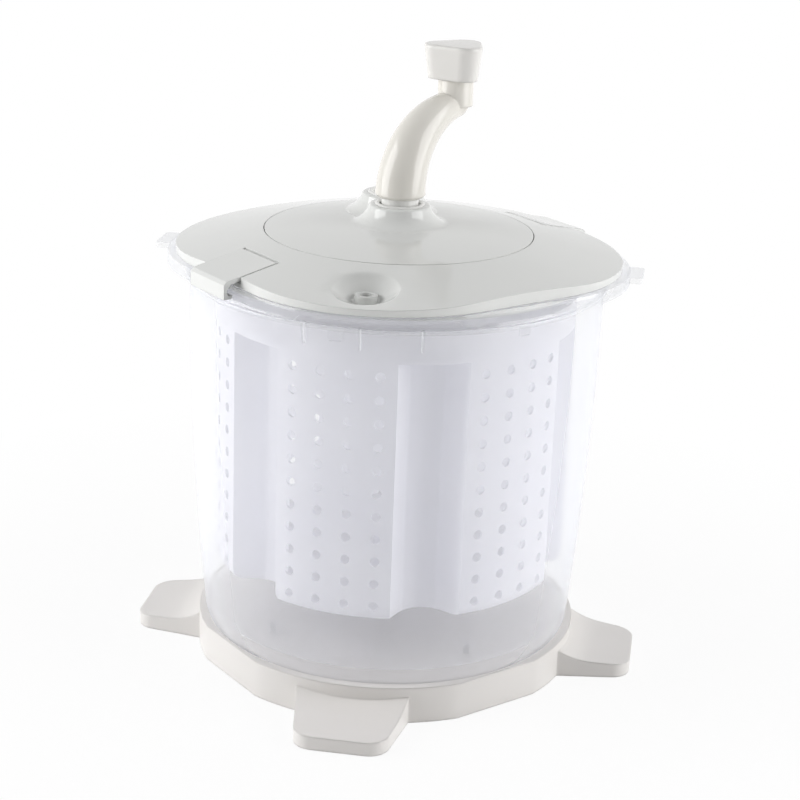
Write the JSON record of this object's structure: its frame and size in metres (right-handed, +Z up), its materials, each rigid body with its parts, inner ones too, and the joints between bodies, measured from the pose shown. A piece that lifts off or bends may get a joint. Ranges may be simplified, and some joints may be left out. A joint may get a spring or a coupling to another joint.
{
  "type": "hand-cranked washing machine",
  "caption": "Round clear tub on a footed base with a spinning perforated basket, latched square lid, geared cover and swept hand crank with a turning knob.",
  "frame": {"origin": "on the floor, on the crank axis, at the centre of the feet", "axes": "+Z up along the crank axis, -Y towards the front foot and the water inlet"},
  "size_m": [0.408, 0.408, 0.485],
  "materials": {
    "base_plastic": "warm light grey, fine satin",
    "clear_plastic": "frosted, slightly blue",
    "basket_plastic": "milky white",
    "lid_plastic": "cool light grey, satin",
    "cover_plastic": "light grey, glossy",
    "crank_plastic": "ivory, satin",
    "bush_plastic": "white acetal, glossy",
    "gear_plastic": "natural nylon",
    "drive_plastic": "white, satin",
    "steel": "turned, bright",
    "rubber": "dark grey, matt",
    "seal_rubber": "pale silicone"
  },
  "bodies": {
    "tub_unit": {"base": "base_plastic", "foot_pads": "rubber", "base_screws": "steel", "tub": "clear_plastic", "pivot_pin": "steel"},
    "basket_unit": {"basket": "basket_plastic", "basket_screens": "basket_plastic", "basket_bush": "bush_plastic"},
    "lid_unit": {"lid": "lid_plastic", "lid_gasket": "seal_rubber", "gear_case": "gear_plastic", "gear_cover": "cover_plastic", "cover_screws": "steel", "crank_bush": "bush_plastic", "rear_bush": "bush_plastic", "output_bush": "bush_plastic", "latch_pins": "steel"},
    "front_latch": {"latch_front": "lid_plastic"},
    "rear_latch": {"latch_rear": "lid_plastic"},
    "drive": {"centre_gear": "gear_plastic", "drive_plate": "drive_plastic", "drive_screw": "steel"},
    "rear_gear_unit": {"rear_gear": "gear_plastic"},
    "crank": {"crank_arm": "crank_plastic", "crank_neck": "bush_plastic", "knob_axle": "steel"},
    "knob_unit": {"knob": "crank_plastic"}
  },
  "joints": [
    {"name": "basket_spin", "type": "hinge", "parent": "tub_unit", "child": "basket_unit", "pos_m": [0, 0, 0.08], "axis": [0, 0, 1], "continuous": true},
    {"name": "lid_lift", "type": "slide", "parent": "tub_unit", "child": "lid_unit", "axis": [0, 0, 1], "range_m": [0, 0.15]},
    {"name": "latch_front_hinge", "type": "hinge", "parent": "lid_unit", "child": "front_latch", "pos_m": [-0.08994, -0.08994, 0.33922], "axis": [-0.7071, 0.7071, 0], "range_deg": [0, 105]},
    {"name": "latch_rear_hinge", "type": "hinge", "parent": "lid_unit", "child": "rear_latch", "pos_m": [0.08994, 0.08994, 0.33922], "axis": [0.7071, -0.7071, 0], "range_deg": [0, 105]},
    {"name": "drive_spin", "type": "hinge", "parent": "lid_unit", "child": "drive", "pos_m": [0, 0, 0.33], "axis": [0, 0, 1], "continuous": true},
    {"name": "rear_gear_spin", "type": "hinge", "parent": "lid_unit", "child": "rear_gear_unit", "pos_m": [-0.01236, 0.03804, 0.33], "axis": [0, 0, 1], "continuous": true},
    {"name": "crank_lift", "type": "slide", "parent": "drive", "child": "crank", "axis": [0, 0, 1], "range_m": [0, 0.05]},
    {"name": "knob_spin", "type": "hinge", "parent": "crank", "child": "knob_unit", "pos_m": [0.03303, 0.04841, 0.47], "axis": [0, 0, 1], "continuous": true}
  ],
  "couplings": [
    {"joint": "drive_spin", "follows": "basket_spin", "ratio": 1},
    {"joint": "rear_gear_spin", "follows": "basket_spin", "ratio": -0.42857}
  ]
}
